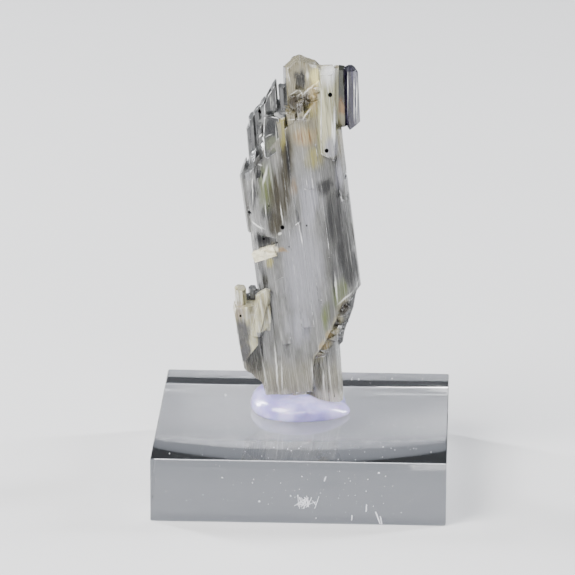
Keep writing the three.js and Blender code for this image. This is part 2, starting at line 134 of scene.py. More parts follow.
class Recipe:
    """A node material that is put together by short calls."""

    def __init__(self, name):
        self.material = bpy.data.materials.new(name)
        self.material.use_nodes = True
        self.nodes = self.material.node_tree.nodes
        self.links = self.material.node_tree.links
        self.shader = self.nodes["Principled BSDF"]
        coordinates = self.nodes.new("ShaderNodeTexCoord").outputs["Object"]
        # Millimetres, and the same turned so that the crystals' length is its Z.
        self.place = self.mapped(coordinates, scale=(1 / MM,) * 3)
        self.upright = self.mapped(self.place, rotation=(0, LEAN, 0))

    def put(self, value, socket):
        if isinstance(value, bpy.types.NodeSocket):
            self.links.new(value, socket)
        else:
            socket.default_value = value

    def mapped(self, vector, location=(0, 0, 0), rotation=(0, 0, 0), scale=(1, 1, 1)):
        node = self.nodes.new("ShaderNodeMapping")
        self.links.new(vector, node.inputs["Vector"])
        node.inputs["Location"].default_value = location
        node.inputs["Rotation"].default_value = rotation
        node.inputs["Scale"].default_value = scale
        return node.outputs["Vector"]

    def streaks(self, stretch=0.04, offset=0.0):
        """Coordinates in which a pattern is drawn out along the crystals."""
        return self.mapped(self.upright, location=(offset, 0, 0), scale=(1, 1, stretch))

    def noise(self, vector, scale, detail=3, roughness=0.5, colour=False):
        node = self.nodes.new("ShaderNodeTexNoise")
        self.links.new(vector, node.inputs["Vector"])
        node.inputs["Scale"].default_value = scale
        node.inputs["Detail"].default_value = detail
        node.inputs["Roughness"].default_value = roughness
        return node.outputs["Color" if colour else "Fac"]

    def cell_walls(self, vector, scale):
        """The distance to the nearest wall between uneven cells."""
        node = self.nodes.new("ShaderNodeTexVoronoi")
        node.feature = "DISTANCE_TO_EDGE"
        self.links.new(vector, node.inputs["Vector"])
        node.inputs["Scale"].default_value = scale
        return node.outputs["Distance"]

    def math(self, operation, a, b=0.5, clamp=False):
        node = self.nodes.new("ShaderNodeMath")
        node.operation = operation
        node.use_clamp = clamp
        self.put(a, node.inputs[0])
        self.put(b, node.inputs[1])
        return node.outputs[0]

    def vector(self, operation, a, b, output="Vector"):
        node = self.nodes.new("ShaderNodeVectorMath")
        node.operation = operation
        self.put(a, node.inputs[0])
        self.put(b, node.inputs[1])
        return node.outputs[output]

    def ramp(self, value, low, high, out_low=0.0, out_high=1.0):
        node = self.nodes.new("ShaderNodeMapRange")
        node.interpolation_type = "SMOOTHSTEP"
        self.put(value, node.inputs["Value"])
        node.inputs["From Min"].default_value = low
        node.inputs["From Max"].default_value = high
        node.inputs["To Min"].default_value = out_low
        node.inputs["To Max"].default_value = out_high
        return node.outputs["Result"]

    def mix(self, factor, a, b, blend="MIX"):
        node = self.nodes.new("ShaderNodeMix")
        node.data_type = "RGBA"
        node.blend_type = blend
        node.clamp_factor = True
        self.put(factor, node.inputs[0])
        self.put(a, node.inputs[6])
        self.put(b, node.inputs[7])
        return node.outputs[2]

    def wobbly(self, amount, scale, stretch=0.35):
        """Places pushed about by noise, for stains with uneven rims."""
        shift = self.noise(self.streaks(stretch), scale, 4, 0.6, colour=True)
        centred = self.vector("SUBTRACT", shift, (0.5, 0.5, 0.5))
        return self.vector(
            "ADD", self.place, self.vector("MULTIPLY", centred, (amount,) * 3)
        )

    def patch(self, where, centre, radii, inner=0.55, outer=1.15):
        """1 inside an ellipsoid about the centre and 0 well outside it, in millimetres."""
        offset = self.vector("SUBTRACT", where, centre)
        scaled = self.vector("DIVIDE", offset, radii)
        length = self.vector("LENGTH", scaled, (0, 0, 0), output="Value")
        return self.ramp(length, inner, outer, 1.0, 0.0)

    def patches(self, where, places, **limits):
        """1 inside any of the places, and 0 well outside them all."""
        total = 0.0
        for centre, radii in places:
            spot = self.patch(where, centre, radii, **limits)
            total = spot if total == 0.0 else self.math("MAXIMUM", total, spot)
        return total

    def stroke(self, where, start, end, width, inner=0.3, outer=1.1, reach=FRONT_REACH):
        """1 on a line between two places of the front, in millimetres, and 0 beside it."""
        (x0, z0), (x1, z1) = start, end
        length = math.hypot(x1 - x0, z1 - z0)
        middle = ((x0 + x1) / 2, 0, (z0 + z1) / 2)
        moved = self.vector("SUBTRACT", where, middle)
        turned = self.mapped(moved, rotation=(0, math.atan2(x0 - x1, z1 - z0), 0))
        radii = (width, reach, length * HALF_LINE)
        return self.patch(turned, (0, 0, 0), radii, inner, outer)

    def strokes(self, where, lines, reach=FRONT_REACH):
        total = 0.0
        for line in lines:
            drawn = self.stroke(where, *line, reach=reach)
            total = drawn if total == 0.0 else self.math("MAXIMUM", total, drawn)
        return total

    def bump(self, height, distance, strength=1.0, under=None):
        node = self.nodes.new("ShaderNodeBump")
        self.put(height, node.inputs["Height"])
        node.inputs["Distance"].default_value = distance * MM
        node.inputs["Strength"].default_value = strength
        if under is not None:
            self.links.new(under, node.inputs["Normal"])
        return node.outputs["Normal"]

    def finish(self, **sockets):
        for name, value in sockets.items():
            self.put(value, self.shader.inputs[name.replace("_", " ")])
        return self.material


# Materials. The places of the stains are their centres, with half their width, depth and height.

MILKY = linear(112, 112, 111)
MILKY_GREY = linear(80, 80, 76)
MILKY_BRIGHT = linear(129, 129, 137)
WARM = linear(126, 119, 92)
PALE = linear(168, 165, 132)
YELLOW = linear(146, 138, 64)
ORANGE = linear(98, 62, 20)
PEACH = linear(170, 152, 106)
TAWNY = linear(108, 84, 48)
GLOW = linear(222, 212, 142)
OLIVE = linear(38, 31, 2)
GREEN = linear(86, 98, 34)
DUSKY = linear(8, 8, 10)
CREAM = linear(178, 173, 138)
BROWN = linear(34, 21, 4)
DARK = linear(4, 4, 5)
# Near white for frosty lines and veils, and for painted highlights.
FROST_AND_HIGHLIGHT = linear(224, 224, 220)

YELLOW_STAINS = [
    ((0.9, 0.5, 32.6), (1.0, 2.4, 1.3)),
    ((1.1, 1.0, 40.3), (1.1, 2.4, 0.9)),
    ((-2.15, 0.8, 35.2), (0.3, 2.2, 2.0)),
    ((0.5, 0.9, 37.2), (1.0, 2.0, 0.8)),
    ((-3.4, 0.4, 22.0), (0.35, 1.5, 0.7)),
]
ORANGE_STAINS = [
    ((0.0, 0.4, 34.7), (1.3, 2.0, 1.0)),
    ((-2.2, 0.3, 23.2), (0.6, 1.4, 0.25)),
]
TAWNY_STAINS = [((-1.1, 0.4, 29.7), (0.4, 1.4, 1.0))]
VEIL_STAINS = [((1.05, 1.0, 42.0), (0.8, 2.2, 0.7))]
PEACH_STAINS = ORANGE_STAINS + [((0.9, 0.9, 38.5), (0.8, 2.2, 1.6))]
GLOW_STAINS = [((1.35, 1.0, 40.5), (0.9, 2.4, 1.0))]
OLIVE_STAINS = [
    ((-1.8, 0.6, 32.0), (0.8, 2.6, 4.2)),
    ((-2.4, 0.6, 28.9), (1.3, 2.6, 3.2)),
    ((-2.8, 0.6, 26.0), (0.8, 2.2, 1.5)),
    ((-0.9, 0.8, 37.9), (1.0, 2.0, 1.0)),
]
# Clearer parts of the crystal. Their colour is painted dark, standing in for the dark seen through
# them.
CLEAR_ZONES = [
    ((3.0, 1.0, 26.4), (1.4, 2.8, 3.4)),
    ((3.7, 1.4, 22.6), (1.3, 2.8, 3.4)),
    ((1.9, 0.4, 29.6), (0.9, 1.8, 1.0)),
    ((4.4, 1.2, 21.2), (1.1, 2.8, 2.2)),
    ((-4.6, 0.8, 20.8), (0.6, 2.0, 2.6)),
    ((-4.3, 0.6, 24.0), (1.5, 1.3, 0.9)),
    ((1.7, 1.2, 10.4), (0.6, 2.0, 2.4)),
    ((-0.45, 1.4, 40.2), (0.5, 1.6, 1.0)),
    ((-5.0, 1.6, 32.4), (1.6, 2.4, 2.6)),
    ((-5.0, 1.6, 11.6), (0.8, 2.4, 1.6)),
    ((-3.5, 0.4, 26.9), (0.7, 1.6, 0.9)),
    ((-5.2, 0.6, 28.6), (0.6, 1.6, 1.6)),
]
GREEN_ZONES = [
    ((3.4, 0.8, 18.8), (0.9, 2.4, 1.7)),
    ((-3.7, 0.6, 29.6), (0.9, 2.2, 2.6)),
    ((2.1, 0.6, 16.4), (0.5, 1.4, 1.9)),
]
BRIGHT_ZONES = [
    ((-0.2, 0.4, 21.0), (2.3, 2.6, 6.5)),
    ((0.5, 0.4, 28.0), (1.1, 2.0, 3.6)),
    ((-0.6, 0.4, 15.6), (1.5, 2.0, 2.4)),
    ((3.3, 1.4, 30.6), (0.6, 2.8, 2.4)),
    ((1.2, 0.6, 40.3), (0.9, 1.8, 0.9)),
]
# Healed cracks, and painted highlights on bright edges of the front: two ends and half the width.
CRACKS_AND_HIGHLIGHTS = [
    ((-3.6, 31.9), (-4.1, 29.8), 0.16),
    ((-5.5, 25.9), (-3.9, 25.3), 0.12),
    ((-5.4, 25.6), (-5.0, 23.6), 0.1),
    ((-1.6, 38.6), (-0.7, 39.2), 0.06),
    ((-0.7, 39.2), (-0.3, 38.7), 0.09),
    ((-0.3, 38.7), (0.6, 39.6), 0.08),
    ((0.5, 37.6), (-0.3, 36.4), 0.09),
    ((-1.7, 36.4), (-0.5, 36.5), 0.05),
    ((2.95, 20.8), (3.25, 17.9), 0.12),
    ((3.3, 17.7), (4.9, 18.9), 0.12),
    ((4.9, 18.9), (5.4, 20.1), 0.1),
    ((0.75, 11.9), (0.95, 9.4), 0.09),
    ((-2.9, 13.6), (-2.5, 9.0), 0.1),
    ((-2.2, 12.0), (-2.1, 8.8), 0.08),
    ((-4.4, 13.0), (-3.6, 9.4), 0.1),
    ((2.4, 12.0), (2.7, 8.6), 0.08),
    ((1.9, 10.9), (2.0, 8.4), 0.1),
    ((-2.4, 28.0), (-2.1, 25.8), 0.07),
    ((-3.85, 28.0), (-3.75, 26.5), 0.06),
    ((-2.6, 24.8), (-2.2, 25.0), 0.16),
    ((3.15, 37.6), (3.1, 35.2), 0.12),
    ((-5.1, 31.2), (-5.1, 27.5), 0.06),
    ((-4.7, 34.1), (-4.35, 34.4), 0.06),
    ((-4.35, 34.4), (-4.2, 33.9), 0.06),
    ((-4.6, 31.9), (-4.2, 31.8), 0.08),
    ((1.35, 40.2), (1.5, 33.2), 0.06),
    ((0.1, 41.2), (0.2, 40.0), 0.2),
    ((-1.75, 41.4), (-1.5, 39.6), 0.06),
]
# Dark lines and edges in shade.
SHADES = [
    ((-3.0, 38.9), (-2.75, 36.9), 0.16),
    ((-4.5, 15.0), (-3.9, 15.7), 0.16),
    ((4.05, 21.9), (4.3, 19.4), 0.1),
    ((4.5, 21.9), (4.75, 19.9), 0.08),
    ((2.7, 22.0), (3.0, 18.2), 0.14),
    ((-3.9, 21.6), (-3.7, 18.8), 0.4),
    ((-5.1, 24.3), (-3.0, 23.9), 0.6),
    ((2.3, 32.8), (3.0, 32.2), 0.1),
    ((-0.4, 41.5), (-0.35, 39.6), 0.3),
    ((-1.8, 35.4), (-1.5, 30.2), 0.3),
    ((-4.35, 33.2), (-4.2, 32.0), 0.3),
    ((-4.2, 31.2), (-4.0, 30.3), 0.2),
    ((-5.8, 31.2), (-5.6, 29.9), 0.26),
]
# Small round inclusions: place and radius.
SPOTS = [
    ((2.4, 0.0, 39.0), 0.24),
    ((-4.5, 1.5, 36.7), 0.2),
    ((2.1, 0.0, 33.4), 0.22),
    ((-2.15, 0.0, 25.55), 0.21),
    ((-4.0, 0.7, 24.2), 0.13),
    ((-2.7, 0.2, 24.0), 0.11),
    ((-3.5, 0.2, 27.7), 0.08),
    ((0.2, -0.1, 25.8), 0.1),
    ((-6.2, -0.3, 16.7), 0.15),
    ((-1.5, -0.1, 23.6), 0.08),
]


def inclusions(recipe, colour, see_through, dull=0.0):
    """The colour and the clearness with the dark round inclusions, which are dull, as is `dull`."""
    places = [(centre, (radius, 1.2, radius * 1.1)) for centre, radius in SPOTS]
    spots = recipe.patches(recipe.place, places, inner=0.75, outer=1.1)
    matt = recipe.math("MAXIMUM", spots, dull)
    recipe.finish(Specular_IOR_Level=recipe.ramp(matt, 0.0, 1.0, 0.5, 0.0))
    return (
        recipe.mix(spots, colour, DARK),
        recipe.math("SUBTRACT", see_through, spots, clamp=True),
    )


def striae(recipe, distance=0.05, strength=0.8):
    """Fine ridges along the crystals, over broader ones."""
    broad = recipe.noise(recipe.streaks(0.015), 2.2, 3, 0.6)
    fine = recipe.noise(recipe.streaks(0.03, 7), 9, 3, 0.6)
    low = recipe.bump(broad, distance * 1.6, strength)
    return recipe.bump(fine, distance * 0.5, strength * 0.6, under=low)


# The fractured place under the stub: its centre, and half its width, depth and height.
BROKEN_ZONE = ((-0.45, 0.5, 37.6), (1.4, 2.4, 1.8))


# The rough crust down the right: the places it runs through, and its stains.
SEAM_LINE = [(4.1, 18.2), (3.6, 16.6), (3.1, 15.3), (2.4, 14.0), (1.8, 12.9), (1.3, 11.6)]
SEAM_WIDTH = 0.62
BROWN_STAINS = [((3.9, 1.2, 17.2), (0.6, 2.4, 1.0)), ((3.2, 1.2, 15.6), (0.35, 2.4, 0.6))]
TAN_STAINS = [((1.9, 0.8, 13.4), (0.8, 2.4, 0.6)), ((2.5, 0.8, 14.6), (0.4, 2.4, 0.8))]


def crusted(recipe, near, colour):
    """The colour with the rough crust laid over it."""
    grain = recipe.noise(recipe.place, 1.7, 5, 0.7)
    crust = recipe.mix(recipe.ramp(grain, 0.4, 0.58), linear(108, 102, 76), linear(156, 150, 122))
    for places, tint in ((BROWN_STAINS, BROWN), (TAN_STAINS, linear(152, 134, 92))):
        stain = recipe.patches(near, places, inner=0.5, outer=1.2)
        crust = recipe.mix(recipe.math("MULTIPLY", stain, 0.93), crust, tint)
    cover = 0.0
    for start, end in zip(SEAM_LINE, SEAM_LINE[1:]):
        part = recipe.stroke(near, start, end, SEAM_WIDTH, 0.5, 1.25, 3.5)
        cover = part if cover == 0.0 else recipe.math("MAXIMUM", cover, part)
    return recipe.mix(recipe.math("MULTIPLY", cover, 0.9), colour, crust)


PLATE = linear(238, 232, 204)


def plate(recipe, where):
    """The bright plate across the left edge, under its recess."""
    return recipe.stroke(where, (-5.2, 22.15), (-2.8, 23.35), 0.6, 0.8, 1.05)


# Between these heights the tints of the sheaf's ends come in, fully so at the second.
WARM_TOP = (31, 37)
WARM_FOOT = (13, 10)
PALE_FOOT = (12.5, 10)
GLUE_RIM_TINT = (9.0, 7.9)


def crystal_finish():
    recipe = Recipe("milky striated crystal")
    where = recipe.wobbly(2.4, 0.8)
    near = recipe.wobbly(0.3, 1.6, 0.6)
    streak = recipe.noise(recipe.streaks(0.06), 2.4, 5, 0.65)
    hair = recipe.noise(recipe.streaks(0.022, 3), 8, 4, 0.65)
    cloud = recipe.noise(recipe.streaks(0.4), 0.7, 5, 0.62)

    bright = recipe.patches(where, BRIGHT_ZONES, inner=0.4, outer=1.2)
    clear = recipe.math(
        "MULTIPLY",
        recipe.patches(where, CLEAR_ZONES, inner=0.45, outer=1.2),
        recipe.ramp(streak, 0.34, 0.56, 0.62, 1.0),
    )
    height = recipe.vector("DOT_PRODUCT", where, (0, 0, 1), output="Value")
    warm = recipe.math(
        "MAXIMUM",
        recipe.ramp(height, *WARM_TOP, 0.0, 0.85),
        recipe.ramp(height, *WARM_FOOT, 0.0, 0.3),
    )
    low = recipe.ramp(height, *PALE_FOOT, 0.0, 1.0)
    colour = recipe.mix(recipe.ramp(cloud, 0.38, 0.6), MILKY_GREY, MILKY)
    colour = recipe.mix(warm, colour, WARM)
    colour = recipe.mix(recipe.math("MULTIPLY", bright, 0.85), colour, MILKY_BRIGHT)
    # Painted dark in the clearer parts, standing in for the dark seen through them.
    colour = recipe.mix(recipe.math("MULTIPLY", clear, 0.94), colour, DUSKY)
    about = recipe.wobbly(1.0, 1.2)
    vein = recipe.noise(recipe.streaks(0.05, 5), 4.0, 3, 0.6)
    for places, tint, pattern, inner, least, most in (
        (GREEN_ZONES, GREEN, streak, 0.4, 0.45, 0.85),
        (OLIVE_STAINS, OLIVE, streak, 0.6, 0.62, 0.96),
        (YELLOW_STAINS, YELLOW, streak, 0.4, 0.4, 0.8),
        (GLOW_STAINS, GLOW, streak, 0.6, 0.75, 0.95),
        (PEACH_STAINS, PEACH, streak, 0.4, 0.6, 0.8),
        (ORANGE_STAINS, ORANGE, vein, 0.4, 0.0, 0.75),
        (TAWNY_STAINS, TAWNY, streak, 0.4, 0.5, 0.85),
        (VEIL_STAINS, FROST_AND_HIGHLIGHT, streak, 0.5, 0.6, 0.9),
    ):
        stain = recipe.math(
            "MULTIPLY",
            recipe.patches(about, places, inner=inner, outer=1.25),
            recipe.ramp(pattern, 0.42, 0.54, least, most),
        )
        colour = recipe.mix(stain, colour, tint)
    broken = recipe.patch(where, BROKEN_ZONE[0], BROKEN_ZONE[1], 0.6, 1.15)
    mottle = recipe.ramp(recipe.noise(near, 1.1, 5, 0.7), 0.42, 0.56)
    colour = recipe.mix(
        recipe.math("MULTIPLY", recipe.math("MULTIPLY", broken, mottle), 0.9),
        colour,
        linear(44, 36, 26),
    )
    rents = recipe.cell_walls(recipe.mapped(near, scale=(1, 1, 0.75)), 1.5)
    rents = recipe.math("MULTIPLY", recipe.ramp(rents, 0.0, 0.06, 0.2, 0.0), broken)
    colour = recipe.mix(rents, colour, FROST_AND_HIGHLIGHT)
    colour = crusted(recipe, recipe.wobbly(0.9, 1.3, 0.8), colour)
    colour = recipe.mix(recipe.math("MULTIPLY", low, 0.4), colour, linear(150, 147, 132))
    calm = recipe.math(
        "SUBTRACT", 1.0, recipe.math("MULTIPLY", recipe.math("MAXIMUM", bright, low), 0.7)
    )
    lines = recipe.math("MULTIPLY", recipe.ramp(hair, 0.55, 0.7, 0.0, 0.28), calm)
    colour = recipe.mix(lines, colour, FROST_AND_HIGHLIGHT)
    dark_lines = recipe.math("MULTIPLY", recipe.ramp(hair, 0.45, 0.3, 0.0, 0.36), calm)
    colour = recipe.mix(dark_lines, colour, DUSKY)
    shades = recipe.strokes(near, SHADES)
    colour = recipe.mix(recipe.math("MULTIPLY", shades, 0.9), colour, DUSKY)
    # Painted highlights on bright edges, with the healed cracks, in near white.
    cracks_and_highlights = recipe.strokes(near, CRACKS_AND_HIGHLIGHTS)
    colour = recipe.mix(recipe.math("MULTIPLY", cracks_and_highlights, 0.62), colour, FROST_AND_HIGHLIGHT)
    colour = recipe.mix(recipe.math("MULTIPLY", plate(recipe, near), 0.85), colour, PLATE)
    at_glue = recipe.ramp(height, *GLUE_RIM_TINT, 0.0, 0.6)
    colour = recipe.mix(at_glue, colour, linear(196, 192, 176))

    see_through = recipe.math(
        "ADD", recipe.ramp(streak, 0.35, 0.65, 0.14, 0.28), recipe.math("MULTIPLY", clear, 0.26)
    )
    drawn = recipe.math("MAXIMUM", cracks_and_highlights, recipe.math("MULTIPLY", shades, 0.5))
    opaque = recipe.math("ADD", recipe.math("MULTIPLY", bright, 0.08), drawn)
    see_through = recipe.math("SUBTRACT", see_through, opaque, clamp=True)
    stained = recipe.patches(about, OLIVE_STAINS + GREEN_ZONES, inner=0.45, outer=1.35)
    dull = recipe.math("MULTIPLY", recipe.math("MAXIMUM", clear, stained), 0.6)
    colour, see_through = inclusions(recipe, colour, see_through, dull)
    return recipe.finish(
        Base_Color=colour,
        Roughness=recipe.ramp(hair, 0.3, 0.7, 0.14, 0.34),
        Transmission_Weight=see_through,
        Normal=striae(recipe),
        IOR=CRYSTAL_IOR,
    )


# Painted highlights: bright lines inside the clear side prism.
CLEAR_HIGHLIGHTS = [
    ((4.05, 41.2), (4.1, 36.0), 0.07),
    ((4.66, 40.6), (4.72, 35.8), 0.08),
    ((4.92, 40.3), (4.96, 36.2), 0.07),
    ((5.25, 40.6), (5.25, 36.6), 0.09),
    ((-4.55, 34.3), (-4.2, 34.7), 0.1),
    ((-4.2, 34.7), (-3.95, 33.6), 0.08),
]


def clear_finish(name, pale, deep, veiled, clearness, frost=0.0):
    """Clear crystal between two tints, with milky veils of the given strength."""
    recipe = Recipe(name)
    near = recipe.wobbly(0.1, 1.6, 0.3)
    streak = recipe.noise(recipe.streaks(0.04), 3.0, 4, 0.6)
    veil = recipe.noise(recipe.streaks(0.35), 1.2, 5, 0.65)
    colour = recipe.mix(recipe.ramp(streak, 0.4, 0.6), pale, deep)
    milk = recipe.ramp(veil, 0.52, 0.66, 0.0, veiled)
    colour = recipe.mix(milk, colour, linear(166, 166, 166))
    # Painted highlights in near white along these lines.
    lines = recipe.strokes(near, CLEAR_HIGHLIGHTS, reach=5)
    colour = recipe.mix(lines, colour, FROST_AND_HIGHLIGHT)
    see_through = recipe.math("SUBTRACT", clearness, recipe.math("ADD", milk, lines), clamp=True)
    colour, see_through = inclusions(recipe, colour, see_through)
    return recipe.finish(
        Base_Color=colour,
        Roughness=recipe.ramp(streak, 0.4, 0.75, 0.03 + frost, 0.16 + frost),
        Transmission_Weight=see_through,
        Normal=striae(recipe, 0.025, 0.6),
        IOR=CRYSTAL_IOR,
    )


# Bright lines in the smoky plates, and their darker places.
SHEET_LINES = [
    ((-3.5, 38.9), (-3.4, 36.7), 0.07),
    ((-3.9, 34.6), (-3.2, 34.9), 0.06),
    ((-2.9, 35.9), (-2.75, 33.6), 0.05),
]
SHEET_DARKS = [
    ((-3.35, 1.5, 39.0), (0.3, 1.5, 0.4)),
    ((-3.85, 1.5, 37.4), (0.25, 1.5, 0.7)),
    ((-3.2, 0.2, 35.5), (0.8, 1.0, 0.8)),
]


def sheet_finish():
    recipe = Recipe("smoky plate crystal")
    near = recipe.wobbly(0.3, 1.4, 0.5)
    streak = recipe.noise(recipe.streaks(0.12), 2.0, 4, 0.6)
    veil = recipe.noise(recipe.streaks(0.5), 1.1, 5, 0.65)
    colour = recipe.mix(recipe.ramp(streak, 0.38, 0.62), linear(80, 82, 79), linear(48, 49, 50))
    darks = recipe.patches(near, SHEET_DARKS, inner=0.3, outer=1.3)
    colour = recipe.mix(recipe.math("MULTIPLY", darks, 0.75), colour, linear(24, 24, 27))
    olive = recipe.patch(near, (-3.0, 0.3, 33.9), (1.0, 1.5, 0.9))
    colour = recipe.mix(recipe.math("MULTIPLY", olive, 0.6), colour, linear(104, 108, 84))
    colour = recipe.mix(recipe.ramp(veil, 0.52, 0.7, 0.0, 0.45), colour, linear(160, 160, 158))
    lines = recipe.math("MULTIPLY", recipe.strokes(near, SHEET_LINES), 0.6)
    colour = recipe.mix(lines, colour, FROST_AND_HIGHLIGHT)
    return recipe.finish(
        Base_Color=colour,
        Roughness=recipe.ramp(streak, 0.35, 0.7, 0.08, 0.22),
        Transmission_Weight=recipe.ramp(veil, 0.45, 0.65, 0.35, 0.15),
        Normal=striae(recipe, 0.03, 0.5),
        IOR=CRYSTAL_IOR,
    )


def break_finish():
    recipe = Recipe("frosty broken crystal")
    grain = recipe.noise(recipe.place, 1.6, 5, 0.65)
    colour = recipe.mix(recipe.ramp(grain, 0.4, 0.6), linear(178, 174, 158), linear(108, 102, 82))
    return recipe.finish(
        Base_Color=colour,
        Roughness=recipe.ramp(grain, 0.35, 0.7, 0.2, 0.4),
        Transmission_Weight=0.12,
        Normal=recipe.bump(grain, 0.12, 0.6),
        IOR=CRYSTAL_IOR,
    )


# Painted highlight for the bevelled edges: bright glints over grey.
def edge_finish():
    recipe = Recipe("crystal edge with painted highlight")
    painted_glint = recipe.noise(recipe.place, 1.2, 5, 0.65)
    colour = recipe.mix(
        recipe.ramp(painted_glint, 0.42, 0.56), linear(84, 84, 84), linear(240, 240, 242)
    )
    return recipe.finish(
        Base_Color=colour, Roughness=0.16, Transmission_Weight=0.2, IOR=CRYSTAL_IOR
    )


# Painted highlights: bright lines of the pale slab.
SLAB_HIGHLIGHTS = [
    ((2.85, 37.7), (2.85, 34.0), 0.16),
    ((2.6, 36.4), (2.65, 34.6), 0.06),
    ((1.5, 39.8), (1.55, 33.6), 0.06),
]


def pale_finish():
    recipe = Recipe("pale slab crystal")
    streak = recipe.noise(recipe.streaks(0.05), 3.0, 4, 0.6)
    hair = recipe.noise(recipe.streaks(0.02), 9, 3, 0.6)
    colour = recipe.mix(recipe.ramp(streak, 0.38, 0.6), PALE, linear(122, 121, 92))
    where = recipe.wobbly(0.6, 1.0)
    upper = recipe.patch(where, (2.3, 0.5, 41.3), (1.3, 3.0, 1.9), 0.1, 1.1)
    colour = recipe.mix(recipe.math("MULTIPLY", upper, 0.9), colour, linear(226, 226, 228))
    lower = recipe.patch(where, (2.6, 0.5, 33.6), (0.9, 2.0, 1.6))
    colour = recipe.mix(recipe.math("MULTIPLY", lower, 0.8), colour, linear(122, 122, 134))
    # Painted highlights in white along these lines.
    highlight_lines = recipe.strokes(recipe.wobbly(0.2, 1.2, 0.3), SLAB_HIGHLIGHTS)
    colour = recipe.mix(highlight_lines, colour, linear(250, 250, 250))
    colour = recipe.mix(recipe.ramp(hair, 0.54, 0.7, 0.0, 0.5), colour, FROST_AND_HIGHLIGHT)
    gradual = recipe.ramp(streak, 0.35, 0.7, 0.14, 0.3)
    colour, see_through = inclusions(recipe, colour, gradual)
    return recipe.finish(
        Base_Color=colour,
        Roughness=gradual,
        Transmission_Weight=see_through,
        Normal=striae(recipe),
        IOR=CRYSTAL_IOR,
    )


def flake_finish():
    recipe = Recipe("stained flake")
    where = recipe.wobbly(0.5, 1.2)
    streak = recipe.noise(recipe.streaks(0.05), 3.0, 4, 0.6)
    colour = recipe.mix(
        recipe.ramp(streak, 0.35, 0.65), linear(46, 49, 30), linear(11, 13, 8)
    )
    tan = recipe.math(
        "MULTIPLY",
        recipe.patch(where, (3.35, 2.0, 37.0), (0.6, 2.0, 1.5), 0.4, 1.2),
        recipe.ramp(streak, 0.35, 0.5, 0.5, 0.95),
    )
    colour = recipe.mix(tan, colour, linear(148, 112, 62))
    foot = recipe.patch(where, (3.4, 2.0, 36.1), (0.8, 2.0, 0.8))
    colour = recipe.mix(recipe.math("MULTIPLY", foot, 0.8), colour, linear(138, 134, 104))
    return recipe.finish(
        Base_Color=colour,
        Roughness=0.22,
        Transmission_Weight=recipe.ramp(tan, 0.0, 1.0, 0.45, 0.2),
        Normal=striae(recipe, 0.03),
        IOR=CRYSTAL_IOR,
    )


def cream_finish():
    recipe = Recipe("cream crystal")
    where = recipe.wobbly(0.9, 1.1)
    streak = recipe.noise(recipe.streaks(0.12), 3.0, 5, 0.65)
    blotch = recipe.noise(recipe.place, 0.9, 4, 0.6)
    hair = recipe.noise(recipe.streaks(0.06), 6, 4, 0.65)
    colour = recipe.mix(recipe.ramp(streak, 0.38, 0.6), CREAM, linear(112, 106, 78))
    colour = recipe.mix(recipe.ramp(blotch, 0.48, 0.64, 0, 0.6), colour, linear(146, 144, 136))
    colour = recipe.mix(recipe.ramp(hair, 0.5, 0.66, 0, 0.5), colour, FROST_AND_HIGHLIGHT)
    colour = recipe.mix(recipe.ramp(hair, 0.44, 0.3, 0, 0.5), colour, linear(70, 58, 40))
    near = recipe.wobbly(0.3, 1.6, 0.6)
    colour = recipe.mix(recipe.math("MULTIPLY", plate(recipe, near), 0.85), colour, PLATE)
    rosy = recipe.patch(where, (-6.2, 0, 17.0), (0.6, 2.0, 0.9))
    colour = recipe.mix(recipe.math("MULTIPLY", rosy, 0.5), colour, linear(112, 92, 80))
    grey = recipe.patches(
        where,
        [((-6.1, -0.4, 14.9), (0.9, 2.0, 1.7)), ((-5.8, -0.4, 12.9), (0.6, 2.0, 1.4))],
    )
    colour = recipe.mix(recipe.math("MULTIPLY", grey, 0.85), colour, linear(62, 61, 70))
    clearness = recipe.ramp(grey, 0.0, 1.0, 0.08, 0.6)
    colour, see_through = inclusions(recipe, colour, clearness)
    return recipe.finish(
        Base_Color=colour,
        Roughness=recipe.ramp(streak, 0.35, 0.7, 0.22, 0.42),
        Transmission_Weight=see_through,
        Normal=striae(recipe, 0.05),
        IOR=CRYSTAL_IOR,
    )


def tablet_finish():
    recipe = Recipe("smooth cream tablet")
    along = recipe.mapped(recipe.place, rotation=(0, 0.4, 0), scale=(0.25, 1, 1))
    grain = recipe.noise(along, 2.4, 4, 0.6)
    colour = recipe.mix(recipe.ramp(grain, 0.42, 0.64), PLATE, linear(182, 172, 138))
    return recipe.finish(
        Base_Color=colour,
        Roughness=recipe.ramp(grain, 0.35, 0.7, 0.24, 0.42),
        Transmission_Weight=0.08,
        Normal=recipe.bump(grain, 0.03, 0.5),
        IOR=CRYSTAL_IOR,
    )


def glue_finish():
    recipe = Recipe("milky hot-melt glue")
    cloud = recipe.noise(recipe.place, 0.5, 3, 0.5)
    wrinkle = recipe.noise(recipe.place, 1.1, 2, 0.4)
    colour = recipe.mix(
        recipe.ramp(cloud, 0.35, 0.65), linear(196, 190, 238), linear(154, 147, 214)
    )
    return recipe.finish(
        Base_Color=colour,
        Roughness=0.3,
        Coat_Weight=1.0,
        Coat_Roughness=0.16,
        Transmission_Weight=recipe.ramp(cloud, 0.3, 0.7, 0.08, 0.2),
        Subsurface_Weight=0.35,
        Subsurface_Scale=1.5 * MM,
        Normal=recipe.bump(wrinkle, 0.12, 0.4),
        IOR=GLUE_IOR,
    )


